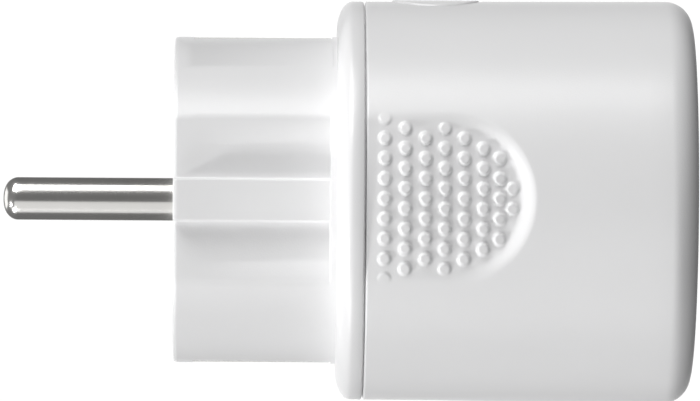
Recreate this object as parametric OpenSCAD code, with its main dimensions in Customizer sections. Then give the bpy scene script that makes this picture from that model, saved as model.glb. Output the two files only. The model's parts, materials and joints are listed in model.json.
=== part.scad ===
// Round plug-through power meter: hybrid CEE 7/7 plug at the back, Schuko socket in front.
// +X runs along the plug's axis from the pins to the socket, and +Z goes up through the button.
// The origin is on that axis, in the flange's rear face, which closes onto the wall socket.

/* [Plug] */
// Diameter of each plug pin
pin_d = 4.8; // [4.7:0.05:4.9]
// Length of the pins in front of the barrel
pin_len = 19; // [18.5:0.5:19.5]
// Distance between the axes of the two pins
pin_pitch = 19; // [18.8:0.1:19.2]
// Length of the barrel that enters the wall socket
barrel_len = 18.25; // [17:0.25:18.5]
// Radius of the barrel where it meets the flange
barrel_r = 18.45; // [18.2:0.05:18.5]
// Width of the rib that divides each guide groove
guide_rib_w = 4.6; // [4:0.2:5]

/* [Body] */
// Length of the body from the flange's rear face to the socket's rim
body_len = 40; // [39:0.5:44]
// Radius of the body at the seam
body_r = 22.45; // [22.3:0.05:22.8]
// Growth of the body's radius from the seam to the front, for mould release
body_draft = 0.2; // [0:0.05:0.3]
// Rounding radius of the front edge
front_round = 3; // [2:0.25:3]
// Wall thickness of the body's sleeve
wall = 1.5; // [1.4:0.1:1.7]

/* [Socket] */
// Depth of the socket well
well_depth = 17.5; // [17.5:0.1:18]
// Radius of the socket well
well_r = 19.3; // [19.2:0.05:19.4]

/* [Button] */
// Diameter of the push button
button_d = 9.9; // [8:0.1:10]
// Distance of the button's axis from the flange's rear face
button_x = 11.1; // [11:0.1:12]
// Travel of the button
button_travel = 0.35; // [0.2:0.05:0.4]

/* [Thumb grips] */
// Depth of the grip's scoop at its round end
grip_depth = 1.1; // [0.8:0.05:1.2]
// Half the height of the grip, and the radius of its round end
grip_r = 9.8; // [9:0.1:10.2]
// Diameter of a grip dot
dot_d = 1.6; // [1.2:0.1:1.8]
// Spacing of the dots, along a column and from column to column
dot_pitch = 2.22; // [2.2:0.02:2.4]

/* [Hidden] */
$fn = 96;

white = "white";
steel = "lightgray";
copper = "peru";
board_green = "seagreen";
dark = "dimgray";

gap = 0.1;                              // play between parts that slide into each other
eps = 0.05;                             // overshoot of a cut
pin_r = pin_d / 2;
pin_y = pin_pitch / 2;
face_x = -barrel_len;                   // barrel's rear face
face_t = 2.2;                           // thickness of that face
tip_x = face_x - pin_len;               // tips of the pins
tip_round = 1.7;                        // length of a pin's rounded tip
barrel_face_r = barrel_r - 0.1;         // the barrel tapers a little
barrel_in = 16.3;                       // radius of the space in the barrel
barrel_cavity_x = face_x + face_t;      // where that space begins
groove_y = 16;                          // the guide grooves' floor, from the axis
groove_z = 9.6;                         // half the height that the grooves' cut takes
groove_end_x = -0.75;                   // the grooves stop short of the flange
rib_y = 18.05;                          // top of the guide rib, from the axis
shoulder_r = 3.3;                       // flange shoulder, radially
shoulder_x = 1.75;                      // flange shoulder, along the axis
seam_x = 3.1;                           // joint of the flange and the sleeve
seam_w = 0.17;                          // half the width of the groove in that joint
seam_depth = 0.5;
ledge_x = 1.4;                          // ledge that carries the power board
spigot_x = 5.2;                         // end of the spigot that enters the sleeve
spigot_in = 19.7;
sleeve_in = body_r - wall;
front_r = body_r + body_draft;
round_x = body_len - front_round;       // where the front edge begins to round off
lip_r = sleeve_in - 0.4;                // the front lip holds the well
floor_t = 2;
floor_x = body_len - well_depth;        // front of the well's floor
floor_back = floor_x - floor_t;
well_out = lip_r - gap;
stud_r = 2;
shutter_hole_r = 2.75;                  // pin holes in the well's floor
strip_z = 17.1;                         // inside of the earth strips on the barrel
earth_z = 17.4;                         // inside of the bracket's ends, behind the earth clips
metal_t = 0.8;
earth_half_w = 2.9;
board_x = ledge_x;
board_t = 1.2;
board_front = board_x + board_t;
board_r = 19.5;
tube_z = -10;                           // axis of the female earth contact
relay_x0 = -14.8;
relay_z = 8.4;
relay_w = 18.2;
relay_h = 10;
relay_base_t = 1.3;
carrier_x0 = 4.5;
carrier_x1 = 16.5;
carrier_r = 4.4;
bracket_t = 0.7;
shutter_x0 = 18.4;
shutter_x1 = floor_back - 0.2;
spring_r = 2.9;
spring_wire = 0.15;
post_z = 8.5;                           // posts that hold the bracket down
ctrl_z = 14.6;                          // underside of the control board
ctrl_t = 1;
switch_z = ctrl_z + ctrl_t;
plunger_z = 18.7;                       // top of the switch's plunger
button_r = button_d / 2;
grip_x = 12;                            // centre of the grip's round end
grip_z = 0.25;                          // the grips sit a little above the axis
grip_floor_x = [seam_x - 0.1, 8.5, 13]; // each level of the floor begins here
grip_step = 0.7;                        // each level is this much narrower than the last
grip_first = 0.3;                       // depth of the first level, which is open at the seam
grip_pad_y = 19.3;                      // flat inside of the sleeve behind each grip
dot_proud = 0.5;
dot_x = [5.2, 7.45, 9.7, 11.85, 14, 16.1, 17.9, 19.3]; // columns of dots, closer at the end
dot_rows = [9, 8, 7, 8, 7, 6, 5, 2];    // dots in each column
dots_end_x = 20.4;

// Turns a profile of [radius, x] points round the plug's axis.
module turned() {
    rotate([0, 90, 0]) rotate_extrude() children();
}

// A round bar along X from x0 to x1.
module bar_x(r, x0, x1) {
    translate([x0, 0, 0]) rotate([0, 90, 0]) cylinder(r = r, h = x1 - x0);
}

// A box from one corner to the opposite one.
module box(a, b) {
    translate(a) cube([b[0] - a[0], b[1] - a[1], b[2] - a[2]]);
}

// Both sides, at +Y and -Y.
module both_sides() {
    children();
    mirror([0, 1, 0]) children();
}

// Top and bottom, at +Z and -Z.
module top_and_bottom() {
    children();
    mirror([0, 0, 1]) children();
}

// ---- housings ----

module rear_profile() {
    shoulder = [
        for (a = [0:15:90])
            [body_r - shoulder_r + shoulder_r * sin(a), shoulder_x - shoulder_x * cos(a)]
    ];
    polygon(concat(
        [[0, face_x], [barrel_face_r - 0.4, face_x], [barrel_face_r, face_x + 0.4], [barrel_r, 0]],
        shoulder,
        [
            [body_r, seam_x - seam_w], [body_r - seam_depth, seam_x], [sleeve_in - gap, seam_x],
            [sleeve_in - gap, spigot_x], [spigot_in, spigot_x], [spigot_in, ledge_x],
            [barrel_in, ledge_x], [barrel_in, barrel_cavity_x], [0, barrel_cavity_x]
        ]
    ));
}

module groove_cut() {
    difference() {
        box([face_x - 1, groove_y, -groove_z], [groove_end_x, barrel_r + 1, groove_z]);
        box([face_x - 2, 0, -guide_rib_w / 2], [1, rib_y, guide_rib_w / 2]);
    }
}

module rear_housing() color(white) difference() {
    union() {
        turned() rear_profile();
        both_sides() intersection() {
            bar_x(barrel_in + eps, barrel_cavity_x - eps, ledge_x);
            box([barrel_cavity_x - eps, groove_y - 1.6, -10], [ledge_x, 20, 10]);
        }
    }
    both_sides() {
        groove_cut();
        box([seam_x, 15, -11.5], [spigot_x + 1, 22, 11.5]);
        translate([0, pin_y, 0]) bar_x(pin_r + 0.03, face_x - 1, barrel_cavity_x + 1);
    }
    translate([0, 0, tube_z]) bar_x(3.15, face_x - 1, barrel_cavity_x + 1);
    bar_x(1.4, face_x - 1, barrel_cavity_x + 1);
    bar_x(2.4, face_x - 1, face_x + 1.4);
    top_and_bottom() {
        box([barrel_cavity_x - eps, -3.1, strip_z - 0.1], [-0.5, 3.1, 19]);
        box([barrel_cavity_x, -3.1, 15], [barrel_cavity_x + metal_t + 0.1, 3.1, 19]);
    }
}

module sleeve_profile() {
    lip_a = acos((lip_r - (front_r - front_round)) / front_round);
    polygon(concat(
        [
            [sleeve_in, seam_x], [body_r - seam_depth, seam_x], [body_r, seam_x + seam_w]
        ],
        [
            for (i = [0:8])
                [front_r - front_round + front_round * cos(lip_a * i / 8),
                    round_x + front_round * sin(lip_a * i / 8)]
        ],
        [[lip_r, round_x], [sleeve_in, round_x]]
    ));
}

// One level of the scoop: a D that is round in front, cut down to one radius.
module grip_level(x0, r, floor_r) {
    difference() {
        union() {
            translate([grip_x, grip_pad_y, grip_z]) rotate([-90, 0, 0]) cylinder(r = r, h = 5);
            box([0, grip_pad_y - 4, grip_z - r], [grip_x, grip_pad_y + 5, grip_z + r]);
        }
        bar_x(floor_r, 0, body_len);
        box([-1, 0, -r - 1], [x0, grip_pad_y + 6, r + 1]);
    }
}

// The whole scoop, which gets deeper in levels towards its round end.
module grip_scoop() {
    last = len(grip_floor_x) - 1;
    for (k = [0:last])
        grip_level(grip_floor_x[k], grip_r - k * grip_step,
            body_r - grip_first - (grip_depth - grip_first) * k / last);
}

// Raised dots in staggered columns. The tops of each column lie on one radius, lower in front.
module grip_dots() {
    last = len(dot_rows) - 1;
    for (c = [0:last]) intersection() {
        for (i = [0:dot_rows[c] - 1])
            translate([dot_x[c], 0, grip_z + (i - (dot_rows[c] - 1) / 2) * dot_pitch])
                rotate([-90, 0, 0]) cylinder(r = dot_d / 2, h = 24, $fn = 24);
        difference() {
            bar_x(body_r - (grip_depth - dot_proud) * c / last, seam_x, dots_end_x);
            bar_x(sleeve_in + 0.2, seam_x - 1, dots_end_x + 1);
        }
    }
}

module front_housing() color(white) difference() {
    union() {
        difference() {
            turned() sleeve_profile();
            both_sides() grip_scoop();
        }
        both_sides() {
            intersection() {
                bar_x(sleeve_in + eps, seam_x, floor_back - gap);
                box([seam_x, grip_pad_y, -9], [floor_back - gap, 22, 9]);
            }
            intersection() {
                bar_x(sleeve_in + eps, board_front + 1, carrier_x1 - 0.4);
                box([spigot_x + 0.2, 10.4, ctrl_z - 1], [carrier_x1 - 0.4, 18, ctrl_z]);
            }
            grip_dots();
        }
    }
    translate([button_x, 0, 18]) cylinder(r = button_r + 0.15, h = 6);
}

module well_profile() {
    inner = front_r - front_round;
    polygon([
        [0, floor_back], [well_out, floor_back], [well_out, round_x - 1.2],
        [well_out + 0.35, round_x - 1.2], [well_out + 0.35, round_x], [well_out, round_x],
        [well_out, body_len - 0.15], [inner, body_len], [well_r + 0.25, body_len],
        [well_r, body_len - 0.35], [well_r, floor_x], [0, floor_x]
    ]);
}

module socket_well() color(white) {
    difference() {
        union() {
            turned() well_profile();
            both_sides() intersection() {
                bar_x(well_r + eps, floor_x - eps, body_len - 2.2);
                difference() {
                    box([floor_x - eps, 16.4, -8.7], [body_len - 2.2, 20, 8.7]);
                    box([floor_x, 15, -2.7], [body_len, 20, 2.7]);
                }
            }
        }
        both_sides() translate([0, pin_y, 0]) {
            bar_x(shutter_hole_r, floor_back - 1, floor_x + 1);
            translate([floor_x - 0.5, 0, 0]) rotate([0, 90, 0])
                cylinder(r1 = shutter_hole_r, r2 = shutter_hole_r + 0.6, h = 0.6);
        }
        top_and_bottom() {
            box([floor_back - 1, -3.3, 16.6], [floor_x + eps, 3.3, 22]);
            box([floor_x, -3.3, 18], [round_x - 0.8, 3.3, 22]);
        }
    }
    bar_x(stud_r, carrier_x1 - 1.3, floor_back + eps);
    top_and_bottom() translate([0, 0, post_z])
        bar_x(1.2, carrier_x1 + bracket_t, floor_back + eps);
}

module housing_screw() color(steel) difference() {
    union() {
        bar_x(1.1, face_x + 1.4, -6);
        bar_x(2.2, face_x + 0.2, face_x + 1.4);
    }
    for (a = [0:60:120]) rotate([a, 0, 0])
        box([face_x - 1, -1.3, -0.2], [face_x + 0.9, 1.3, 0.2]);
}

// ---- current path ----

module pin_profile() {
    polygon(concat(
        [
            for (a = [0:10:90])
                [pin_r * sin(a), tip_x + tip_round * (1 - cos(a))]
        ],
        [
            [pin_r, face_x], [pin_r - 0.2, face_x], [pin_r - 0.2, barrel_cavity_x],
            [3.2, barrel_cavity_x], [3.2, -14.7], [1.5, -14.7], [1.5, -13.7], [0, -13.7]
        ]
    ));
}

module pin(side) color(steel) translate([0, side * pin_y, 0]) turned() pin_profile();

module pin_live() pin(1);
module pin_neutral() pin(-1);

module pin_rivets() color(steel) both_sides() translate([0, pin_y, 0])
    bar_x(2.1, -13.7, -12.9);

module busbar() color(copper) difference() {
    union() {
        box([-14.6, 7.4, -2.3], [-13.8, 13, 2.3]);
        box([-14.6, 12.2, -2.3], [board_x, 13, 2.3]);
    }
    translate([0, pin_y, 0]) bar_x(1.55, -15, -13);
}

module busbar_live() busbar();
module busbar_neutral() mirror([0, 1, 0]) busbar();

module contact(side) color(copper) translate([0, side * pin_y, 0]) difference() {
    union() {
        bar_x(2.9, board_front, carrier_x1 - 0.1);
        box([board_front, -3, -3], [board_front + metal_t, 3, 3]);
    }
    bar_x(pin_r + 0.02, board_front - 1, carrier_x1 + 1);
    box([board_front + 3, -0.3, -4], [carrier_x1 + 1, 0.3, 4]);
}

module contact_live() contact(1);
module contact_neutral() contact(-1);

module contact_carrier() color(dark) difference() {
    union() {
        both_sides() translate([0, pin_y, 0]) bar_x(carrier_r, carrier_x0, carrier_x1);
        box([carrier_x0, -pin_y, -carrier_r], [carrier_x1, pin_y, carrier_r]);
        bar_x(2.8, barrel_cavity_x, carrier_x0 + 1);
        both_sides() top_and_bottom() translate([0, 5, 3.3])
            bar_x(0.9, board_front, carrier_x0 + 1);
    }
    both_sides() translate([0, pin_y, 0]) bar_x(3, carrier_x0 - 1, carrier_x1 + 1);
    bar_x(stud_r + 0.2, carrier_x1 - 2, carrier_x1 + 1);
    bar_x(1.15, barrel_cavity_x - 1, -5);
}

// ---- earth path ----

module earth_yoke() color(steel) difference() {
    union() {
        top_and_bottom() {
            box([barrel_cavity_x, -earth_half_w, 0],
                [barrel_cavity_x + metal_t, earth_half_w, strip_z + eps]);
            intersection() {
                bar_x(barrel_face_r - 0.05, barrel_cavity_x, -0.7);
                box([barrel_cavity_x, -earth_half_w, strip_z], [-0.7, earth_half_w, barrel_r]);
            }
        }
        bar_x(4.9, barrel_cavity_x, barrel_cavity_x + metal_t);
        translate([0, 0, tube_z]) bar_x(4.6, barrel_cavity_x, barrel_cavity_x + metal_t);
    }
    bar_x(3, barrel_cavity_x - 1, 0);
    translate([0, 0, tube_z]) bar_x(3.12, barrel_cavity_x - 1, 0);
}

module earth_tube() color(steel) translate([0, 0, tube_z]) difference() {
    bar_x(3.1, face_x + 0.3, -3);
    bar_x(pin_r + 0.05, face_x - 1, -4);
}

module earth_strap() color(steel)
    box([barrel_cavity_x + metal_t, -2.5, -15.6], [carrier_x1, 2.5, -15.6 + metal_t]);

module earth_bracket() color(steel) difference() {
    union() {
        box([carrier_x1, -earth_half_w, -earth_z], [carrier_x1 + bracket_t, earth_half_w, earth_z]);
        top_and_bottom() box([carrier_x1, -earth_half_w, earth_z - eps],
            [carrier_x1 + 1.5, earth_half_w, earth_z + metal_t]);
    }
    bar_x(stud_r + 0.3, carrier_x1 - 1, carrier_x1 + 1);
}

// A leaf spring: runs forward, bows in towards the axis, then flares out.
function clip_path() = [
    [18.3, 17.8], [21.5, 17.9], [24, 18], [27.5, 17.85], [29.5, 17.45], [31, 17.3],
    [32.5, 17.45], [34.5, 18.05], [35.6, 18.45]
];

module earth_clip() color(steel) rotate([90, 0, 0]) linear_extrude(2 * earth_half_w, center = true) {
    path = clip_path();
    half_t = metal_t * 0.4;
    polygon(concat(
        [for (p = path) [p[0], p[1] + half_t]],
        [for (i = [len(path) - 1:-1:0]) [path[i][0], path[i][1] - half_t]]
    ));
}

module earth_clip_top() earth_clip();
module earth_clip_bottom() mirror([0, 0, 1]) earth_clip();

// ---- shutter ----

module shutter() color(white) difference() {
    union() {
        bar_x(4.2, shutter_x0, shutter_x1);
        both_sides() translate([0, pin_y, 0]) bar_x(3.1, shutter_x0, shutter_x1);
        box([shutter_x0, -pin_y, -3.1], [shutter_x1, pin_y, 3.1]);
        box([carrier_x1 + bracket_t + 0.3, 4, -0.7], [shutter_x0 + eps, 5.2, 0.7]);
    }
    bar_x(stud_r + 0.08, shutter_x0 - 1, shutter_x1 + 1);
}

// Tube swept along points, with rings at right angles to the path.
function unit(v) = v / norm(v);
function ring(p, t, r, n) =
    let (u = unit(cross(t, [1, 0, 0])), w = cross(t, u))
    [for (k = [0:n - 1]) p + r * (cos(360 * k / n) * u + sin(360 * k / n) * w)];

module sweep(points, r, n = 8) {
    last = len(points) - 1;
    rings = [
        for (i = [0:last])
            ring(points[i], unit(points[min(i + 1, last)] - points[max(i - 1, 0)]), r, n)
    ];
    polyhedron(
        points = [for (a = rings) for (p = a) p],
        faces = concat(
            [[for (k = [0:n - 1]) k]],
            [for (i = [0:last - 1]) for (k = [0:n - 1])
                [i * n + k, (i + 1) * n + k, (i + 1) * n + (k + 1) % n, i * n + (k + 1) % n]],
            [[for (k = [n - 1:-1:0]) last * n + k]]
        )
    );
}

// Angle at which a line from point p touches the coil's circle, on the side given.
function tangent_angle(p, side) = atan2(p[1], p[0]) + side * acos(spring_r / norm(p));

// Torsion spring: one leg bears on the lower post, the other on the shutter's lug.
module shutter_spring() color(steel) {
    post_end = [-1.6, 0.3 - post_z];
    lug_end = [4.5, -0.95];
    a0 = tangent_angle(post_end, 1);
    a1 = tangent_angle(lug_end, -1) + 720;
    steps = 44;
    x0 = carrier_x1 + bracket_t + 0.2;
    rise = 0.8;
    coil = [
        for (i = [0:steps])
            let (a = a0 + (a1 - a0) * i / steps)
            [x0 + rise * i / steps, spring_r * cos(a), spring_r * sin(a)]
    ];
    sweep(concat([concat([x0], post_end)], coil, [concat([x0 + rise], lug_end)]), spring_wire);
}

// ---- power board, on both of its faces ----

module power_board() color(board_green) difference() {
    bar_x(board_r, board_x, board_front);
    bar_x(3.1, board_x - 1, board_front + 1);
    box([board_x - 1, -2.8, -16], [board_front + 1, 2.8, -14.4]);
}

module shunt_resistor() color(copper) {
    box([board_front + 2, -6, -7.2], [board_front + 2.6, 6, -5.4]);
    both_sides() box([board_front, 5.4, -7.2], [board_front + 2.1, 6, -5.4]);
}

module fuse() color("tan") {
    r = 1.9;
    translate([board_front + r, -13.6, -9.6]) rotate([-90, 0, 0]) {
        cylinder(r = r - 0.2, h = 10);
        cylinder(r = r, h = 2.4);
        translate([0, 0, 7.6]) cylinder(r = r, h = 2.4);
    }
}

module varistor() color("royalblue") translate([board_front + 5.4, 8, -11.2]) rotate([-90, 0, 0]) {
    cylinder(r = 5, h = 3);
    translate([0, 0, 0.8]) cylinder(r = 5.4, h = 1.4);
}

module film_capacitor() color("gold")
    box([board_front, -2.4, -14.2], [board_front + 11, 5.6, -7.8]);

module filter_capacitors() color(dark) both_sides() translate([0, 8.3, -8.6]) {
    bar_x(3.1, -11, board_x - 1);
    bar_x(2.8, -11.2, board_x);
}

module inductor() color(dark) translate([0, -7, -15]) {
    bar_x(3, board_front, board_front + 1);
    bar_x(2.6, board_front + 1, board_front + 6);
    bar_x(3, board_front + 6, board_front + 7);
}

module chip(y0, z0, w, h, t) color(dark) box([board_front, y0, z0], [board_front + t, y0 + w, z0 + h]);

module bridge_rectifier() chip(-14.8, 5.2, 4.8, 4.6, 2.2);
module supply_chip() chip(-8, 6, 5, 4, 1.4);
module metering_chip() chip(3, 6, 5.4, 4.4, 1.5);

// ---- relay, behind the board in the barrel ----

module relay_case() color("royalblue") difference() {
    box([relay_x0, -relay_w / 2, relay_z - relay_h / 2],
        [board_x - relay_base_t, relay_w / 2, relay_z + relay_h / 2]);
    box([relay_x0 + 0.8, 0.8 - relay_w / 2, relay_z - relay_h / 2 + 0.8],
        [board_x, relay_w / 2 - 0.8, relay_z + relay_h / 2 - 0.8]);
}

module relay_base() color(dark) box([board_x - relay_base_t, -relay_w / 2, relay_z - relay_h / 2],
    [board_x, relay_w / 2, relay_z + relay_h / 2]);

module relay_coil() color(copper) translate([0, -2, relay_z]) {
    bar_x(3.9, -12.2, -11.4);
    bar_x(3.5, -11.4, -1.2);
    bar_x(3.9, -1.2, board_x - relay_base_t);
    bar_x(1.4, -12.6, -12.2);
}

module relay_frame() color(steel)
    box([-12.9, 3, relay_z - 3], [board_x - relay_base_t, 4, relay_z + 3]);

module relay_armature() color(steel)
    box([-13.55, -6, relay_z - 2.8], [-12.95, 4.6, relay_z + 2.8]);

// ---- control board and push button ----

module board_headers() color(dark) both_sides()
    box([board_front, 8.3, ctrl_z - 2], [board_front + 2, 10.2, ctrl_z]);

module control_board() color(board_green)
    box([board_front + 1, -11, ctrl_z], [carrier_x1 - 0.4, 11, ctrl_z + ctrl_t]);

module radio_module() color(board_green) box([5.2, -8, ctrl_z - 1], [15.8, 8, ctrl_z]);

module shield_can() color(steel) difference() {
    box([6, -6.5, ctrl_z - 3], [15, 6.5, ctrl_z - 1]);
    box([6.3, -6.2, ctrl_z - 2.7], [14.7, 6.2, ctrl_z]);
}

module status_led() color("white") box([5.4, 6, switch_z], [7, 6.8, switch_z + 0.7]);

module push_switch() color(dark) difference() {
    translate([button_x, 0, 0]) box([-3.1, -3.1, switch_z], [3.1, 3.1, 18]);
    translate([button_x, 0, 16.2]) cylinder(r = 1.8, h = 3);
}

module switch_plunger() color(dark) translate([button_x, 0, 17.05 + button_travel])
    cylinder(r = 1.7, h = plunger_z - 17.05 - button_travel);

module snap_dome() color(steel) translate([button_x, 0, 16.2]) rotate_extrude()
    polygon([[0, 0.9], [0.8, 0.75], [1.6, 0.05], [1.7, 0.15], [0.85, 0.87], [0, 1.02]]);

module button_cap() color(white) intersection() {
    translate([button_x, 0, plunger_z + 0.02]) {
        cylinder(r = 1.5, h = 1);
        translate([0, 0, 0.5]) cylinder(r = button_r + 0.4, h = 0.7);
        translate([0, 0, 1]) cylinder(r = button_r, h = 4.5);
    }
    bar_x(body_r + 0.2, 0, 20);
}

rear_housing();
front_housing();
socket_well();
housing_screw();
pin_live();
pin_neutral();
pin_rivets();
busbar_live();
busbar_neutral();
earth_yoke();
earth_tube();
earth_strap();
earth_bracket();
earth_clip_top();
earth_clip_bottom();
contact_live();
contact_neutral();
contact_carrier();
shutter();
shutter_spring();
power_board();
shunt_resistor();
fuse();
varistor();
film_capacitor();
filter_capacitors();
inductor();
bridge_rectifier();
supply_chip();
metering_chip();
relay_case();
relay_base();
relay_coil();
relay_frame();
relay_armature();
board_headers();
control_board();
radio_module();
shield_can();
status_led();
push_switch();
switch_plunger();
snap_dome();
button_cap();
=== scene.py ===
"""Looks of the round plug-through power meter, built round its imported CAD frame.

+X runs from the pins to the socket, +Z goes up through the button. Lengths in this
script are millimetres until they are put into a mesh.
"""

import json
import math

import bpy
from mathutils import Matrix, Vector
from mathutils.geometry import delaunay_2d_cdt


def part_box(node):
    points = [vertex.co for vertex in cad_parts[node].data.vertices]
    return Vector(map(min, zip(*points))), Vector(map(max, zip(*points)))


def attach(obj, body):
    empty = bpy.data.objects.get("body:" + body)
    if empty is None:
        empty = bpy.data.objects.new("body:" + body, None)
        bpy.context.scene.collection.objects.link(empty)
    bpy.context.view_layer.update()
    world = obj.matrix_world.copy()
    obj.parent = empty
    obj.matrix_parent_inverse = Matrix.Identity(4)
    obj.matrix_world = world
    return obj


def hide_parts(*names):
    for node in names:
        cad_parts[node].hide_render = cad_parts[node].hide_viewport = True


MM = 0.001

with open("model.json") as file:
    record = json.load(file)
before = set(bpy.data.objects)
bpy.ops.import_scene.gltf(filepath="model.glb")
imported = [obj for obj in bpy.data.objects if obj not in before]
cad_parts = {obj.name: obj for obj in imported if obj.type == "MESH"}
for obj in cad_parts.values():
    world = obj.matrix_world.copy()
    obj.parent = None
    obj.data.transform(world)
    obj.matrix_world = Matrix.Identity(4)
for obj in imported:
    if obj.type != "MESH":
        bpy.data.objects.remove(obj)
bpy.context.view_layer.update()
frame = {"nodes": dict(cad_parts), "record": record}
nodes = frame["nodes"]


def box_mm(node):
    """A CAD node's lowest and highest corners in millimetres."""
    low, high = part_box(node)
    return low / MM, high / MM


# ---- sizes, some read from the CAD frame and the rest given as numbers ----

rear_low, rear_high = box_mm("rear_housing")
front_low, front_high = box_mm("front_housing")
_, well_high = box_mm("socket_well")
button_low, button_high = box_mm("button_cap")
pin_low, pin_high = box_mm("pin_live")
tube_low, tube_high = box_mm("earth_tube")

# places along the axis and radii, from the pins' end to the rim
FACE_X = rear_low.x
SEAM_X = front_low.x
RIM_X = well_high.x
FLANGE_R = rear_high.z
FRONT_R = front_high.z
BUTTON_X = (button_low.x + button_high.x) / 2
BUTTON_R = 4.95
BUTTON_TOP = button_high.z
PIN_Y = (pin_low.y + pin_high.y) / 2
PIN_R = 2.4
# the pin's rounded tip: its length, and the power of the sine that shapes it
PIN_TIP = 1.7
PIN_TIP_POWER = 0.85
TUBE_Z = (tube_low.z + tube_high.z) / 2
TUBE_OUT = 3.1
TUBE_IN = 2.45
TUBE_END_X = -3.0
TUBE_HOLE_R = 3.15
TUBE_HOLE_DEPTH = 2.2
SCREW_HEAD_R = 2.4
SCREW_HEAD_DEPTH = 1.4
SCREW_HOLE_R = 1.2

# the barrel, its side grooves with their ribs, and its flats for the earth strips
BARREL_R = 18.45
BARREL_TAPER = 0.1
GROOVE_Y = 16.0
GROOVE_EDGE_Z = 8.95
GROOVE_END_X = -0.75
GROOVE_FLOOR_Z = [8.7, 8.0, 7.0, 6.0, 5.0, 4.0, 3.2]
GROOVE_FILLET = 0.3
RIB_HALF = 2.3
RIB_Y = 18.05
RIB_EDGE = 0.18
RIB_FACE_Z = [1.4, 0.7]
SLOT_HALF = 3.1
SLOT_Z = 17.0
SLOT_X = (-16.05, -0.5)
# the flange's rounded shoulder: its length along the axis and across it
SHOULDER_X = 1.75
SHOULDER_R = 3.3
SEAM_HALF = 0.17
SEAM_DEPTH = 0.5
FRONT_ROUND = 3.0
SLEEVE_IN = 20.95
LIP_R = 20.55
# the spigot that the sleeve slides over
SPIGOT_R = SLEEVE_IN - 0.1
SPIGOT_IN = 19.7
SPIGOT_X = (1.4, 5.2)

# the button's hole: what each ring of its rounded edge adds to the radius, and its drop
HOLE_R = 5.1
HOLE_RINGS = ((0.22, 0.0), (0.12, 0.015), (0.04, 0.08), (0.0, 0.2), (0.0, 1.7))
BUTTON_EDGE = 0.25
# the collar that keeps the button in: its width, and its depths under the top
BUTTON_COLLAR = 0.4
BUTTON_COLLAR_DROP = (2.0, 2.9)

WELL_R = 19.3
WELL_OUT = 20.45
FLOOR_X = RIM_X - 17.5
FLOOR_T = 2.0
PIN_HOLE_R = 2.75
PIN_HOLE_SINK = 0.6
# the slots that the earth clips lie in: half width, front end, and depths from the axis
CLIP_SLOT_HALF = 3.3
CLIP_SLOT_FRONT = 36.2
CLIP_NOTCH_Z = 16.6
CLIP_SLOT_ROOF_Z = 18.9
CLIP_SLOT_OUT_Z = 20.2

# the thumb grips: centre and radius of the round end, wall width, depths at both ends
GRIP_X = 12.15
GRIP_Z = 0.25
GRIP_R = 9.9
GRIP_WALL = 2.1
GRIP_DEPTH = 1.05
GRIP_SEAM_DEPTH = 0.36
# each column of dots: its place along the axis, and how many it has
DOT_COLUMNS = [
    (5.2, 9), (7.45, 8), (9.7, 7), (11.85, 8),
    (14.0, 7), (16.1, 6), (17.9, 5), (19.3, 2),
]
DOT_PITCH = 2.22
DOT_BASE = 0.8
DOT_TOP = 0.54
DOT_H = 0.5
# the dots sink from this place on, over this length
DOT_SINK = (16, 4)

# quarter turns for rounded edges, in radians
QUARTER_4 = (0.0, 0.52, 1.05, 1.57)
QUARTER_5 = (0.0, 0.4, 0.8, 1.2, 1.57)


def smooth(t):
    """Eases t from 0 to 1, and holds it there outside that range."""
    t = max(0.0, min(1.0, t))
    return t * t * (3 - 2 * t)


# ---- materials ----


def new_material(name):
    """A new material with its node tree and its shader."""
    mat = bpy.data.materials.new(name)
    mat.use_nodes = True
    return mat, mat.node_tree, mat.node_tree.nodes["Principled BSDF"]


MOTTLE_SCALE = 120
WIRE_SCALE = 1500


def add_noise(tree, scale, detail=2.0):
    """Noise in the object's own coordinates, scale in waves per metre."""
    coord = tree.nodes.new("ShaderNodeTexCoord")
    noise = tree.nodes.new("ShaderNodeTexNoise")
    noise.inputs["Scale"].default_value = scale
    noise.inputs["Detail"].default_value = detail
    tree.links.new(coord.outputs["Object"], noise.inputs["Vector"])
    return noise


def add_colour(tree, shader, source, dark, light):
    """Colours the shader from dark to light by source."""
    ramp = tree.nodes.new("ShaderNodeValToRGB")
    ramp.color_ramp.elements[0].position = 0.3
    ramp.color_ramp.elements[1].position = 0.7
    ramp.color_ramp.elements[0].color = (*dark, 1)
    ramp.color_ramp.elements[1].color = (*light, 1)
    tree.links.new(source, ramp.inputs["Fac"])
    tree.links.new(ramp.outputs["Color"], shader.inputs["Base Color"])


def add_bump(tree, shader, source, distance):
    """Raises the surface by source, distance in metres."""
    bump = tree.nodes.new("ShaderNodeBump")
    bump.inputs["Distance"].default_value = distance
    bump.inputs["Strength"].default_value = 1.0
    tree.links.new(source, bump.inputs["Height"])
    tree.links.new(bump.outputs["Normal"], shader.inputs["Normal"])


def surface(
    name, colour, rough, metal=0.0, spread=0.04, grain=900, bump=0.0, coat=0.0, specular=0.5
):
    """A solid coloured plastic or metal with a little mottling and a fine grain."""
    mat, tree, shader = new_material(name)
    mottle = add_noise(tree, MOTTLE_SCALE)
    dark = [max(0.0, c * (1 - spread)) for c in colour]
    light = [min(1.0, c * (1 + spread)) for c in colour]
    add_colour(tree, shader, mottle.outputs["Fac"], dark, light)
    shader.inputs["Roughness"].default_value = rough
    shader.inputs["Metallic"].default_value = metal
    shader.inputs["Coat Weight"].default_value = coat
    shader.inputs["Specular IOR Level"].default_value = specular
    if bump:
        fine = add_noise(tree, grain, 4.0)
        add_bump(tree, shader, fine.outputs["Fac"], bump)
    return mat


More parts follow.
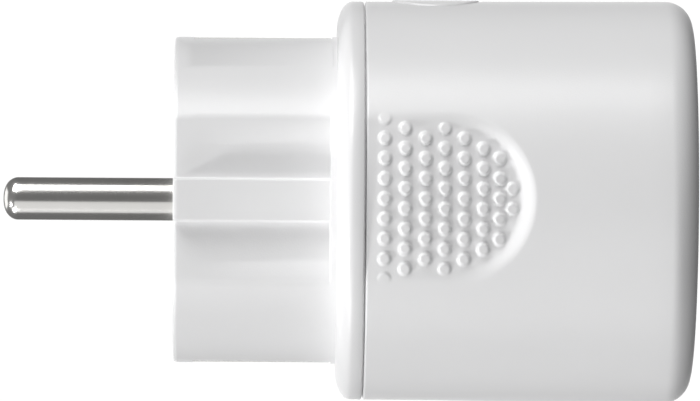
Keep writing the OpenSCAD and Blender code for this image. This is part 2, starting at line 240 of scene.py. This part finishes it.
def winding(name):
    """Enamelled copper wire wound in fine turns along X."""
    mat, tree, shader = new_material(name)
    coord = tree.nodes.new("ShaderNodeTexCoord")
    wave = tree.nodes.new("ShaderNodeTexWave")
    wave.bands_direction = "X"
    wave.inputs["Scale"].default_value = WIRE_SCALE
    tree.links.new(coord.outputs["Object"], wave.inputs["Vector"])
    add_colour(tree, shader, wave.outputs["Fac"], (0.22, 0.07, 0.02), (0.6, 0.25, 0.1))
    add_bump(tree, shader, wave.outputs["Fac"], 0.00005)
    shader.inputs["Metallic"].default_value = 0.8
    shader.inputs["Roughness"].default_value = 0.35
    return mat


WHITE = (0.87, 0.87, 0.875)
MATERIALS = {
    "housing_white": surface(
        "housing_white", WHITE, 0.34, spread=0.006, grain=5200, bump=0.000012, specular=1.0
    ),
    "insert_white": surface(
        "insert_white", (0.84, 0.84, 0.84), 0.4, spread=0.008, grain=3000, bump=0.000006
    ),
    "pin_nickel": surface("pin_nickel", (0.74, 0.73, 0.71), 0.2, metal=1.0, spread=0.03),
    "earth_metal": surface(
        "earth_metal", (0.7, 0.69, 0.66), 0.24, metal=1.0, grain=1500, bump=0.000004
    ),
    "screw_steel": surface(
        "screw_steel", (0.6, 0.6, 0.6), 0.3, metal=1.0, grain=1500, bump=0.000004
    ),
    "contact_brass": surface("contact_brass", (0.8, 0.6, 0.32), 0.28, metal=1.0),
    "board_green": surface("board_green", (0.03, 0.2, 0.09), 0.3, spread=0.15, coat=0.3),
    "black_plastic": surface("black_plastic", (0.03, 0.03, 0.033), 0.5, bump=0.000008),
    "relay_blue": surface("relay_blue", (0.06, 0.17, 0.5), 0.35),
    "coil_copper": winding("coil_copper"),
    "varistor_blue": surface("varistor_blue", (0.04, 0.16, 0.45), 0.25, coat=0.4),
    "capacitor_yellow": surface("capacitor_yellow", (0.75, 0.55, 0.09), 0.4),
    "fuse_ceramic": surface("fuse_ceramic", (0.75, 0.7, 0.6), 0.35),
    "led_clear": surface("led_clear", (0.93, 0.93, 0.88), 0.1, coat=0.5),
}
led_shader = MATERIALS["led_clear"].node_tree.nodes["Principled BSDF"]
led_shader.inputs["Transmission Weight"].default_value = 0.6

for part in frame["record"]["subparts"]:
    mesh = nodes[part["node"]].data
    mesh.materials.clear()
    mesh.materials.append(MATERIALS[part["material_slot"]])


# ---- mesh tools ----


class Shape:
    """Vertices in millimetres and faces, gathered piece by piece."""

    def __init__(self):
        self.verts = []
        self.faces = []

    def add(self, points):
        """Adds points and gives their numbers."""
        start = len(self.verts)
        self.verts.extend(tuple(p) for p in points)
        return list(range(start, len(self.verts)))

    def bridge(self, a, b, closed=True):
        """Quads between two rows of the same length."""
        n = len(a)
        for i in range(n if closed else n - 1):
            j = (i + 1) % n
            self.faces.append((a[i], a[j], b[j], b[i]))

    def loft(self, rows, closed=True):
        """Skins rows of points, and gives the rows' numbers."""
        loops = [self.add(row) for row in rows]
        for a, b in zip(loops, loops[1:]):
            self.bridge(a, b, closed)
        return loops

    def revolve(self, profile, steps=192, centre=(0.0, 0.0)):
        """Turns (x, r) points round a line along X through centre (y, z)."""
        rows = []
        for x, r in profile:
            rows.append([(x, y, z) for y, z in circle(centre, r, steps)])
        return self.loft(rows)

    def flat(self, x, loops):
        """A flat face at x, inside the first loop of (y, z) points and outside the others."""
        points, edges = [], []
        for loop in loops:
            start = len(points)
            points.extend(Vector(p) for p in loop)
            n = len(loop)
            edges.extend((start + i, start + (i + 1) % n) for i in range(n))
        found, _, faces, _, _, _ = delaunay_2d_cdt(points, edges, [], 0, 1e-6)
        ids = self.add([(x, p.x, p.y) for p in found])
        for face in faces:
            middle = sum((found[i] for i in face), Vector((0, 0))) / len(face)
            in_hole = any(inside(middle, hole) for hole in loops[1:])
            if inside(middle, loops[0]) and not in_hole:
                self.faces.append(tuple(ids[i] for i in face))


def inside(p, loop):
    """Whether p lies inside a closed loop of points."""
    hit = False
    for (y0, z0), (y1, z1) in zip(loop, loop[1:] + loop[:1]):
        crosses = (z0 > p[1]) != (z1 > p[1])
        if crosses and p[0] < (y1 - y0) * (p[1] - z0) / (z1 - z0) + y0:
            hit = not hit
    return hit


def circle(centre, r, steps=64):
    """Points (y, z) round centre, from the top."""
    turns = [2 * math.pi * k / steps for k in range(steps)]
    return [(centre[0] + r * math.sin(a), centre[1] + r * math.cos(a)) for a in turns]


def build(shape, name, slot, body, replaced, sharp=35.0):
    """Makes the object from a shape, shades it and ties it to the frame."""
    mesh = bpy.data.meshes.new(name)
    mesh.from_pydata([(x * MM, y * MM, z * MM) for x, y, z in shape.verts], [], shape.faces)
    mesh.validate()
    mesh.materials.append(MATERIALS[slot])
    obj = bpy.data.objects.new(name, mesh)
    bpy.context.scene.collection.objects.link(obj)
    bpy.context.view_layer.objects.active = obj
    obj.select_set(True)
    bpy.ops.object.mode_set(mode="EDIT")
    bpy.ops.mesh.select_all(action="SELECT")
    bpy.ops.mesh.normals_make_consistent(inside=False)
    bpy.ops.object.mode_set(mode="OBJECT")
    obj.select_set(False)
    mesh.shade_smooth()
    mesh.set_sharp_from_angle(angle=math.radians(sharp))
    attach(obj, body)
    if replaced:
        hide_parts(*replaced)
    return obj


# ---- rear housing: barrel with guide grooves, flange ----


def barrel_r(x):
    """Radius of the barrel at x, smaller towards its face for mould release."""
    return BARREL_R - BARREL_TAPER * max(0.0, x / FACE_X)


def on_arc(r, z):
    """How far out a circle of radius r is at height z."""
    return math.sqrt(max(0.0, r * r - z * z))


def barrel_half(r, groove, slot):
    """Right half of the barrel's outline from top to bottom, as (y, z).

    groove goes from 0, a plain circle, to 1, the full groove. slot cuts the flats for
    the earth strips.
    """
    quarter = []
    for y in (0.0, 1.0, 2.0):
        quarter.append((y, SLOT_Z if slot else on_arc(r, y)))
    quarter.append((SLOT_HALF, SLOT_Z) if slot else (SLOT_HALF - 0.1, on_arc(r, SLOT_HALF - 0.1)))
    quarter.append((SLOT_HALF, on_arc(r, SLOT_HALF)))
    a0 = math.asin(SLOT_HALF / r)
    a1 = math.acos((GROOVE_EDGE_Z + 0.15) / r)
    for k in range(1, 21):
        a = a0 + (a1 - a0) * k / 20
        quarter.append((r * math.sin(a), r * math.cos(a)))
    # the groove's floor, root fillet, wall, the rib's rounded edge and face
    cut = [(GROOVE_Y, z) for z in GROOVE_FLOOR_Z]
    cut += [
        (GROOVE_Y + GROOVE_FILLET * (1 - math.cos(a)), RIB_HALF + GROOVE_FILLET * (1 - math.sin(a)))
        for a in (math.radians(d) for d in (15, 40, 65, 90))
    ]
    cut += [
        (RIB_Y - RIB_EDGE * (1 - math.sin(a)), RIB_HALF - RIB_EDGE * (1 - math.cos(a)))
        for a in (math.radians(d) for d in (0, 22, 45, 68, 90))
    ]
    cut += [(RIB_Y, z) for z in RIB_FACE_Z]
    # the same points on the plain circle
    plain = GROOVE_FLOOR_Z + [2.9 - 0.1 * k for k in range(9)] + RIB_FACE_Z
    for (y, z), plain_z in zip(cut, plain):
        plain_y = on_arc(r, plain_z)
        y = plain_y + (min(y, plain_y) - plain_y) * groove
        quarter.append((y, plain_z + (z - plain_z) * groove))
    middle = (r + (RIB_Y - r) * groove, 0.0)
    return quarter + [middle] + [(y, -z) for y, z in reversed(quarter)]


def barrel_outline(r, groove, slot, inset=0.0):
    """The barrel's whole outline, drawn in by inset."""
    half = barrel_half(r, groove, slot)
    k = (r - inset) / r
    loop = half + [(-y, z) for y, z in reversed(half[1:-1])]
    return [(y * k, z * k) for y, z in loop]


def rear_shell():
    """The plug's barrel, its face, the flange and the spigot behind the sleeve."""
    shape = Shape()
    # x, groove, slot and inset of each row; the close rows keep the long faces' shading flat
    rows = [
        (FACE_X, 1, False, 0.4), (FACE_X + 0.04, 1, False, 0.25), (FACE_X + 0.14, 1, False, 0.1),
        (FACE_X + 0.4, 1, False, 0.0), (FACE_X + 0.5, 1, False, 0.0),
        (FACE_X + 0.65, 1, False, 0.0),
        (SLOT_X[0], 1, False, 0.0), (SLOT_X[0], 1, True, 0.0),
        (GROOVE_END_X - 0.12, 1, True, 0.0), (GROOVE_END_X - 0.03, 0.94, True, 0.0),
        (GROOVE_END_X, 0.8, True, 0.0), (GROOVE_END_X, 0.08, True, 0.0),
        (GROOVE_END_X + 0.05, 0.02, True, 0.0), (GROOVE_END_X + 0.14, 0, True, 0.0),
        (SLOT_X[1], 0, True, 0.0), (SLOT_X[1], 0, False, 0.0), (0.0, 0, False, 0.0),
    ]
    shape.loft([
        [(x, y, z) for y, z in barrel_outline(barrel_r(x), groove, slot, inset)]
        for x, groove, slot, inset in rows
    ])
    face = barrel_outline(barrel_r(FACE_X), 1, False, 0.4)
    holes = [
        circle((PIN_Y, 0), PIN_R), circle((-PIN_Y, 0), PIN_R),
        circle((0, TUBE_Z), TUBE_HOLE_R), circle((0, 0), SCREW_HEAD_R),
    ]
    shape.flat(FACE_X, [face] + holes)
    # the screw's counterbore and the hole round the earth tube
    seat_x = FACE_X + SCREW_HEAD_DEPTH
    shape.revolve([(FACE_X, SCREW_HEAD_R), (seat_x, SCREW_HEAD_R), (seat_x, SCREW_HOLE_R)], 64)
    shape.revolve(
        [(FACE_X, TUBE_HOLE_R), (FACE_X + TUBE_HOLE_DEPTH, TUBE_HOLE_R)], 64, (0, TUBE_Z)
    )
    shoulder = [
        (SHOULDER_X * (1 - math.cos(a)), FLANGE_R - SHOULDER_R * (1 - math.sin(a)))
        for a in (math.radians(d) for d in range(0, 91, 6))
    ]
    shape.revolve(
        [(0.0, barrel_r(0.0) - 0.3)] + shoulder
        + [
            (SEAM_X - SEAM_HALF - 0.1, FLANGE_R), (SEAM_X - SEAM_HALF - 0.03, FLANGE_R - 0.03),
            (SEAM_X - SEAM_HALF + 0.02, FLANGE_R - 0.1), (SEAM_X - 0.02, FLANGE_R - SEAM_DEPTH),
            (SEAM_X - 0.02, SPIGOT_R), (SPIGOT_X[1], SPIGOT_R),
            (SPIGOT_X[1], SPIGOT_IN), (SPIGOT_X[0], SPIGOT_IN),
        ],
        256,
    )
    return build(shape, "rear_shell", "housing_white", "root", ["rear_housing"])


# ---- front housing: sleeve, thumb grips, button hole, rounded rim ----

DOTS = [
    (x, (i - (count - 1) / 2) * DOT_PITCH)
    for x, count in DOT_COLUMNS
    for i in range(count)
]


def sleeve_r(x):
    """Outer radius of the sleeve at x."""
    if x < SEAM_X + SEAM_HALF:
        t = (x - SEAM_X) / SEAM_HALF
        return FLANGE_R - SEAM_DEPTH * (1 - t) ** 2
    r = FLANGE_R + (FRONT_R - FLANGE_R) * (x - SEAM_X) / (RIM_X - FRONT_ROUND - SEAM_X)
    round_x = RIM_X - FRONT_ROUND
    if x > round_x:
        r = FRONT_R - FRONT_ROUND + math.sqrt(max(0.0, FRONT_ROUND**2 - (x - round_x) ** 2))
    return r


def grip_offset(x, z):
    """How far a grip lowers the sleeve's side at (x, z)."""
    z -= GRIP_Z
    edge = GRIP_R - (math.hypot(x - GRIP_X, z) if x > GRIP_X else abs(z))
    if edge <= 0:
        return 0.0
    along = smooth((x - SEAM_X) / (GRIP_X + GRIP_R - 2 - SEAM_X))
    depth = GRIP_SEAM_DEPTH + (GRIP_DEPTH - GRIP_SEAM_DEPTH) * along
    floor = -depth * (1 - (z / GRIP_R) ** 4) * smooth(edge / GRIP_WALL)
    # the dots' tops keep one level across the grip and sink towards its round end
    height = DOT_H * (1 - 0.5 * smooth((x - DOT_SINK[0]) / DOT_SINK[1]))
    top = max(floor, min(0.0, height - depth))
    for dot_x, dot_z in DOTS:
        if abs(x - dot_x) < DOT_BASE and abs(z - dot_z) < DOT_BASE:
            d = math.hypot(x - dot_x, z - dot_z)
            rise = max(0.0, min(1.0, (DOT_BASE - d) / (DOT_BASE - DOT_TOP)))
            return floor + (top - floor) * rise
    return floor


# the sleeve's mesh is fine across a grip, out to this height and up to this x
FINE_Z = 10.56
FINE_X = 22.6
STEP = 0.12
# beyond it the rows stand further apart, up to the rounded rim
COARSE_X = [23.6, 25.5, 28.5, 31.5, 34.5]
# half the side of the square round the button that is meshed by itself
PATCH = 6.6
TOP_STEPS = 32
UPPER_ARC_STEPS = 16
LOWER_ARC_STEPS = 44


def sleeve_columns():
    """Columns round the sleeve: ("top", y), ("side", z, sign) or ("arc", angle from +Z)."""
    r = FLANGE_R
    side_a = math.acos(FINE_Z / r)
    top_a = math.asin(PATCH / r)
    n_side = round(2 * FINE_Z / STEP)
    columns = [("top", -PATCH + 2 * PATCH * k / TOP_STEPS) for k in range(TOP_STEPS + 1)]
    upper = [(side_a - top_a) * k / UPPER_ARC_STEPS for k in range(1, UPPER_ARC_STEPS)]
    columns += [("arc", top_a + a) for a in upper]
    columns += [("side", FINE_Z - 2 * FINE_Z * k / n_side, 1) for k in range(n_side + 1)]
    low_a = math.pi - side_a
    columns += [
        ("arc", low_a + (2 * math.pi - 2 * low_a) * k / LOWER_ARC_STEPS)
        for k in range(1, LOWER_ARC_STEPS)
    ]
    columns += [("side", -FINE_Z + 2 * FINE_Z * k / n_side, -1) for k in range(n_side + 1)]
    columns += [("arc", 2 * math.pi - side_a + a) for a in upper]
    return columns


def sleeve_point(x, r, column, grip=True):
    """Where a column of the sleeve is at x, for a sleeve of radius r."""
    if column[0] == "top":
        y = column[1] * r / FLANGE_R
        return (x, y, math.sqrt(r * r - y * y))
    if column[0] == "side":
        z = column[1] * r / FLANGE_R
        y = math.sqrt(r * r - z * z) + (grip_offset(x, column[1]) if grip else 0.0)
        return (x, column[2] * y, z)
    return (x, r * math.sin(column[1]), r * math.cos(column[1]))


def front_shell():
    """The sleeve with its thumb grips, its rounded rim and the hole for the button."""
    shape = Shape()
    columns = sleeve_columns()
    round_x = RIM_X - FRONT_ROUND
    lip_a = math.acos((LIP_R - (FRONT_R - FRONT_ROUND)) / FRONT_ROUND)
    xs = [SEAM_X, SEAM_X + 0.06, SEAM_X + 0.11, SEAM_X + SEAM_HALF, SEAM_X + 0.3]
    patch_x = (BUTTON_X - PATCH, BUTTON_X + PATCH)
    n_fine = round((FINE_X - xs[-1]) / STEP)
    xs += [xs[-1] + (FINE_X - xs[-1]) * k / n_fine for k in range(1, n_fine + 1)]
    first = min(range(len(xs)), key=lambda i: abs(xs[i] - patch_x[0]))
    last = min(range(len(xs)), key=lambda i: abs(xs[i] - patch_x[1]))
    xs += COARSE_X + [round_x]
    xs += [round_x + FRONT_ROUND * math.sin(lip_a * k / 12) for k in range(1, 13)]
    loops = [shape.add([sleeve_point(x, sleeve_r(x), c) for c in columns]) for x in xs]
    n = len(columns)
    for i in range(len(xs) - 1):
        for j in range(n):
            if first <= i < last and j < TOP_STEPS:
                continue
            k = (j + 1) % n
            shape.faces.append((loops[i][j], loops[i][k], loops[i + 1][k], loops[i + 1][j]))
    # the inside, open under the button
    back = [
        (RIM_X - 0.2, LIP_R), (round_x, LIP_R), (round_x, SLEEVE_IN),
        (xs[last], SLEEVE_IN), (xs[first], SLEEVE_IN), (SEAM_X, SLEEVE_IN),
    ]
    under_button = 3
    inner = [shape.add([sleeve_point(x, r, c, False) for c in columns]) for x, r in back]
    shape.bridge(inner[-1], loops[0])
    for i, (a, b) in enumerate(zip(inner, inner[1:])):
        for j in range(n):
            if i == under_button and j < TOP_STEPS:
                continue
            k = (j + 1) % n
            shape.faces.append((a[j], a[k], b[k], b[j]))
    # the skin between the square patch and the button's hole
    edge = (
        [loops[first][j] for j in range(TOP_STEPS)]
        + [loops[i][TOP_STEPS] for i in range(first, last)]
        + [loops[last][j] for j in range(TOP_STEPS, 0, -1)]
        + [loops[i][0] for i in range(last, first, -1)]
    )
    rings = [edge]
    for t in (0.25, 0.5, 0.75, 0.9):
        rings.append(shape.add([patch_point(shape.verts[v], t) for v in edge]))
    for more, drop in HOLE_RINGS:
        rings.append(shape.add([hole_point(shape.verts[v], HOLE_R + more, drop) for v in edge]))
    for a, b in zip(rings, rings[1:]):
        shape.bridge(a, b)
    return build(shape, "front_shell", "housing_white", "root", ["front_housing"], sharp=50)


def hole_point(v, r, drop):
    """Point on the hole's edge in the direction of vertex v."""
    a = math.atan2(v[1], v[0] - BUTTON_X)
    x, y = BUTTON_X + r * math.cos(a), r * math.sin(a)
    return (x, y, math.sqrt(sleeve_r(x) ** 2 - y * y) - drop)


def patch_point(v, t):
    """Point of the skin between vertex v, where t is 0, and the hole's edge, where it is 1."""
    a = hole_point(v, HOLE_R + HOLE_RINGS[0][0], 0.0)
    x, y = v[0] + (a[0] - v[0]) * t, v[1] + (a[1] - v[1]) * t
    return (x, y, math.sqrt(sleeve_r(x) ** 2 - y * y))


def button_shell():
    """The push button, its top curved like the sleeve."""
    shape = Shape()
    steps = 96
    rings = [(BUTTON_R * k / 10, 0.0) for k in range(1, 10)]
    rings += [
        (BUTTON_R - BUTTON_EDGE + BUTTON_EDGE * math.sin(a), BUTTON_EDGE * (1 - math.cos(a)))
        for a in (math.radians(d) for d in (0, 20, 40, 60, 75, 90))
    ]
    upper, lower = BUTTON_COLLAR_DROP
    collar_r = BUTTON_R + BUTTON_COLLAR
    rings += [(BUTTON_R, upper), (collar_r, upper), (collar_r, lower)]

    def point(r, drop, k):
        a = 2 * math.pi * k / steps
        y = r * math.sin(a)
        top = math.sqrt(BUTTON_TOP**2 - min(abs(y), BUTTON_R) ** 2)
        return (BUTTON_X + r * math.cos(a), y, top - drop)

    loops = shape.loft([[point(r, drop, k) for k in range(steps)] for r, drop in rings])
    centre = shape.add([(BUTTON_X, 0, BUTTON_TOP)])[0]
    for k in range(steps):
        shape.faces.append((centre, loops[0][k], loops[0][(k + 1) % steps]))
    shape.faces.append(tuple(loops[-1]))
    return build(shape, "button_shell", "housing_white", "button", ["button_cap"], sharp=60)


# ---- pins and earth contact of the plug ----


def pin_shell(side, node):
    """A plug pin with its rounded tip, on the given side of the axis."""
    shape = Shape()
    tip = pin_low.x
    core = PIN_R - 0.2
    profile = [(tip, 0.0)] + [
        (tip + PIN_TIP * (1 - math.cos(a)), PIN_R * math.sin(a) ** PIN_TIP_POWER)
        for a in (math.radians(d) for d in range(4, 91, 4))
    ]
    profile += [
        (tip + 2.2, PIN_R), (FACE_X + 0.3, PIN_R), (FACE_X + 0.3, core),
        (pin_high.x, core), (pin_high.x, 0.0),
    ]
    shape.revolve(profile, 128, (side * PIN_Y, 0))
    return build(shape, f"{node}_shell", "pin_nickel", "root", [node], sharp=40)


def tube_shell():
    """The plug's earth contact tube with its rounded mouth."""
    shape = Shape()
    mouth = tube_low.x
    profile = [
        (TUBE_END_X, TUBE_OUT), (mouth + 0.2, TUBE_OUT), (mouth + 0.05, TUBE_OUT - 0.06),
        (mouth, TUBE_OUT - 0.2), (mouth, TUBE_IN + 0.15), (mouth + 0.05, TUBE_IN + 0.04),
        (mouth + 0.2, TUBE_IN), (TUBE_END_X, TUBE_IN), (TUBE_END_X, TUBE_OUT),
    ]
    shape.revolve(profile, 96, (0, TUBE_Z))
    return build(shape, "earth_tube_shell", "earth_metal", "root", ["earth_tube"])


# ---- socket well ----


SLOT_STEPS = 6
WALL_STEPS = 60


def well_shell():
    """The socket well: rim, wall, clip slots, floor, pin holes and guide ribs."""
    shape = Shape()
    slot_a = math.asin(CLIP_SLOT_HALF / WELL_R)
    angles = [-slot_a + 2 * slot_a * k / SLOT_STEPS for k in range(SLOT_STEPS + 1)]
    angles += [
        slot_a + (math.pi - 2 * slot_a) * k / WALL_STEPS for k in range(1, WALL_STEPS)
    ]
    angles += [math.pi + a for a in angles]
    n = len(angles)
    half = n // 2
    slot_front = (CLIP_SLOT_FRONT, WELL_R)
    profile = [
        (RIM_X - 3.2, WELL_OUT), (RIM_X - 0.16, WELL_OUT), (RIM_X - 0.1, WELL_OUT - 0.1),
        (RIM_X - 0.03, 20.05), (RIM_X, 19.8), (RIM_X, 19.58), (RIM_X - 0.03, 19.47),
        (RIM_X - 0.1, 19.38), (RIM_X - 0.2, 19.32), (RIM_X - 0.4, WELL_R), slot_front,
        (FLOOR_X + 0.4, WELL_R), (FLOOR_X + 0.12, WELL_R - 0.12), (FLOOR_X, WELL_R - 0.4),
    ]
    loops = [
        shape.add([(x, r * math.sin(a), r * math.cos(a)) for a in angles]) for x, r in profile
    ]
    slot_row = profile.index(slot_front)
    for i in range(len(loops) - 1):
        for j in range(n):
            in_slot = j < SLOT_STEPS or half <= j < half + SLOT_STEPS
            if i >= slot_row and in_slot:
                continue
            k = (j + 1) % n
            shape.faces.append((loops[i][j], loops[i][k], loops[i + 1][k], loops[i + 1][j]))
    # the slots' sides and front ends, which the earth clips lie in
    w, back, front = CLIP_SLOT_HALF, FLOOR_X - FLOOR_T, CLIP_SLOT_FRONT
    wall_z = math.sqrt(WELL_R**2 - w * w)
    for sign in (1, -1):
        notch, roof, out = (
            sign * z for z in (CLIP_NOTCH_Z, CLIP_SLOT_ROOF_Z, CLIP_SLOT_OUT_Z)
        )
        top = sign * wall_z
        outlines = [
            [
                (back, side, notch), (FLOOR_X, side, notch), (FLOOR_X, side, top),
                (front, side, top), (front, side, out), (back, side, out),
            ]
            for side in (-w, w)
        ]
        outlines.append([(front, -w, roof), (front, w, roof), (front, w, out), (front, -w, out)])
        outlines.append([
            (back, -w, notch), (back, w, notch), (FLOOR_X, w, notch), (FLOOR_X, -w, notch)
        ])
        for outline in outlines:
            shape.faces.append(tuple(shape.add(outline)))
    # the floor, notched for the clips, with its two countersunk pin holes
    rim = [((WELL_R - 0.4) * math.sin(a), (WELL_R - 0.4) * math.cos(a)) for a in angles]
    floor = []
    slot_starts, slot_ends = (0, half), (SLOT_STEPS, half + SLOT_STEPS)
    for j, p in enumerate(rim):
        sign = 1 if p[1] > 0 else -1
        if j in slot_starts + slot_ends:
            corner = (math.copysign(w, p[0]), sign * CLIP_NOTCH_Z)
            edge = (math.copysign(w, p[0]), sign * math.sqrt((WELL_R - 0.4) ** 2 - w * w))
            floor += [corner, edge] if j in slot_ends else [edge, corner]
        elif abs(p[0]) >= w - 0.3:
            floor.append(p)
    sunk_r = PIN_HOLE_R + PIN_HOLE_SINK
    shape.flat(FLOOR_X, [floor, circle((PIN_Y, 0), sunk_r), circle((-PIN_Y, 0), sunk_r)])
    for side in (1, -1):
        hole = [
            (FLOOR_X, sunk_r), (FLOOR_X - 0.06, PIN_HOLE_R + 0.5),
            (FLOOR_X - 0.45, PIN_HOLE_R + 0.06), (FLOOR_X - PIN_HOLE_SINK, PIN_HOLE_R),
            (back, PIN_HOLE_R), (back, PIN_HOLE_R + 2.2),
        ]
        shape.revolve(hole, 64, (side * PIN_Y, 0))
    # guide ribs: four blocks along the wall, rounded at their front and inner edges
    for sy in (1, -1):
        for sz in (1, -1):
            guide_rib(shape, sy, sz)
    return build(shape, "well_shell", "insert_white", "root", ["socket_well"], sharp=40)


RIB_IN = 16.4
RIB_Z = (2.7, 8.7)
RIB_FRONT_X = 37.8
RIB_ROUND = 0.35


def guide_rib(shape, sy, sz):
    """One rib along the well's wall, on the sides that the signs sy and sz name."""

    def ring(x, shrink):
        """Outline of the rib's section at x, its free edges drawn in by shrink."""
        a, b, c = RIB_IN + shrink, RIB_Z[0] + shrink, RIB_Z[1] - shrink
        arc = [b + (c - b) * k / 8 for k in range(9)]
        outer = [(math.sqrt((WELL_R + 0.1) ** 2 - z * z), z) for z in arc]
        upper = [
            (a + RIB_ROUND * (1 - math.sin(t)), c - RIB_ROUND * (1 - math.cos(t)))
            for t in QUARTER_4
        ]
        lower = [
            (a + RIB_ROUND * (1 - math.cos(t)), b + RIB_ROUND * (1 - math.sin(t)))
            for t in QUARTER_4
        ]
        return [(x, sy * y, sz * z) for y, z in outer + upper + lower]

    rows = [ring(FLOOR_X - 0.1, 0.0)] + [
        ring(RIB_FRONT_X - RIB_ROUND + RIB_ROUND * math.sin(t), RIB_ROUND * (1 - math.cos(t)))
        for t in QUARTER_5
    ]
    loops = shape.loft(rows)
    shape.faces.append(tuple(loops[-1]))


rear_shell()
front_shell()
button_shell()
pin_shell(1, "pin_live")
pin_shell(-1, "pin_neutral")
tube_shell()
well_shell()

# sheet metal and small moulded parts keep their CAD shape, with eased edges
EASED_EDGES = (
    ("earth_yoke", 0.12), ("earth_clip_top", 0.12), ("earth_clip_bottom", 0.12),
    ("shutter", 0.15), ("housing_screw", 0.08), ("earth_bracket", 0.1),
    ("earth_strap", 0.1), ("relay_case", 0.2), ("control_board", 0.05),
    ("push_switch", 0.1), ("film_capacitor", 0.2),
)
for name, width in EASED_EDGES:
    bevel = nodes[name].modifiers.new("eased_edges", "BEVEL")
    bevel.width = width * MM
    bevel.segments = 3
    bevel.limit_method = "ANGLE"
    bevel.angle_limit = math.radians(40)
    bevel.harden_normals = True


# ---- studio ----

SEEN_WHITE = 1.05
FILL_LEFT = 0.25
FILL_RIGHT = 0.1
# the backdrop's strength, and where it fades in as the direction turns to +Y
BACKDROP = 0.9
BACKDROP_FADE = (0.9, 0.98)
FLOOR_HALF = 1.6
FLOOR_LEVEL = -0.075
LIGHT_DISTANCE = 1.2
# name, tilt above the camera and lean to its right in degrees, size in metres, watts
LIGHTS = [
    ("key", 62, -20, (0.9, 0.9), 12.2),
    ("low", -48, -6, (1.3, 1.5), 4.4),
    ("low_strip", -69, -27, (0.8, 0.5), 4.0),
    ("rake", -57, -60, (0.14, 0.14), 6.3),
    ("back_left", 180, -60, (0.8, 0.8), 2.3),
]


def area_light(name, tilt, lean, size, power):
    """A softbox that faces the part, tilt degrees above the camera and lean to its right."""
    data = bpy.data.lights.new(name, "AREA")
    data.shape = "RECTANGLE"
    data.size, data.size_y = size
    data.energy = power
    light = bpy.data.objects.new(name, data)
    bpy.context.scene.collection.objects.link(light)
    light.visible_camera = False
    up, right = math.radians(tilt), math.radians(lean)
    towards = Vector((
        math.sin(right), -math.cos(up) * math.cos(right), math.sin(up) * math.cos(right)
    ))
    light.location = towards * LIGHT_DISTANCE
    light.rotation_euler = (-towards).to_track_quat("-Z", "Y").to_euler()
    return light


def studio():
    """The floor, the world's light and the softboxes."""
    floor_mesh = bpy.data.meshes.new("floor")
    half, level = FLOOR_HALF, FLOOR_LEVEL
    corners = [(-half, -half), (half, -half), (half, half), (-half, half)]
    floor_mesh.from_pydata([(x, y, level) for x, y in corners], [], [(0, 1, 2, 3)])
    floor = bpy.data.objects.new("floor", floor_mesh)
    bpy.context.scene.collection.objects.link(floor)
    mat, tree, shader = new_material("floor_white")
    cloud = add_noise(tree, 2)
    add_colour(tree, shader, cloud.outputs["Fac"], (0.9, 0.9, 0.9), (0.92, 0.92, 0.92))
    shader.inputs["Roughness"].default_value = 0.9
    floor_mesh.materials.append(mat)
    # the floor lets the low softboxes through
    floor.visible_shadow = False
    floor.visible_diffuse = False
    floor.visible_glossy = False

    # white seen directly; light from the left stronger than from the right
    world = bpy.data.worlds.new("studio")
    bpy.context.scene.world = world
    world.use_nodes = True
    tree = world.node_tree
    seen = tree.nodes["Background"]
    seen.inputs["Color"].default_value = (1, 1, 1, 1)
    seen.inputs["Strength"].default_value = SEEN_WHITE
    fill = tree.nodes.new("ShaderNodeBackground")
    fill.inputs["Color"].default_value = (1, 1, 1, 1)
    coord = tree.nodes.new("ShaderNodeTexCoord")
    split = tree.nodes.new("ShaderNodeSeparateXYZ")
    ramp = tree.nodes.new("ShaderNodeMapRange")
    ramp.inputs["From Min"].default_value = -1
    ramp.inputs["From Max"].default_value = 1
    ramp.inputs["To Min"].default_value = FILL_LEFT
    ramp.inputs["To Max"].default_value = FILL_RIGHT
    tree.links.new(coord.outputs["Generated"], split.inputs["Vector"])
    tree.links.new(split.outputs["X"], ramp.inputs["Value"])
    # the white backdrop behind the part, as it's seen in the metal and at the edges
    backdrop = tree.nodes.new("ShaderNodeMapRange")
    backdrop.interpolation_type = "SMOOTHSTEP"
    backdrop.inputs["From Min"].default_value = BACKDROP_FADE[0]
    backdrop.inputs["From Max"].default_value = BACKDROP_FADE[1]
    backdrop.inputs["To Max"].default_value = BACKDROP
    tree.links.new(split.outputs["Y"], backdrop.inputs["Value"])
    both = tree.nodes.new("ShaderNodeMath")
    both.operation = "ADD"
    tree.links.new(ramp.outputs["Result"], both.inputs[0])
    tree.links.new(backdrop.outputs["Result"], both.inputs[1])
    tree.links.new(both.outputs["Value"], fill.inputs["Strength"])
    path = tree.nodes.new("ShaderNodeLightPath")
    mix = tree.nodes.new("ShaderNodeMixShader")
    tree.links.new(path.outputs["Is Camera Ray"], mix.inputs["Fac"])
    tree.links.new(fill.outputs["Background"], mix.inputs[1])
    tree.links.new(seen.outputs["Background"], mix.inputs[2])
    tree.links.new(mix.outputs["Shader"], tree.nodes["World Output"].inputs["Surface"])

    for light in LIGHTS:
        area_light(*light)


# millimetres, and degrees for the roll
CAMERA_DISTANCE = 970.0
CAMERA_FOOT_X = -9.7
AIM = (1.6, 0.0, 0.0)
LENS = 442.0
ROLL = 0.37


def camera():
    """The camera, square on to the part's side."""
    data = bpy.data.cameras.new("camera")
    data.sensor_width = 36.0
    data.lens = LENS
    data.clip_start, data.clip_end = 0.05, 20.0
    cam = bpy.data.objects.new("camera", data)
    bpy.context.scene.collection.objects.link(cam)
    place = Vector((CAMERA_FOOT_X, -CAMERA_DISTANCE, AIM[2])) * MM
    look = (Vector(AIM) * MM - place).to_track_quat("-Z", "Y").to_matrix().to_4x4()
    roll = Matrix.Rotation(math.radians(ROLL), 4, "Z")
    cam.matrix_world = Matrix.Translation(place) @ look @ roll
    bpy.context.scene.camera = cam


studio()
camera()
bpy.context.scene.view_settings.view_transform = "Standard"
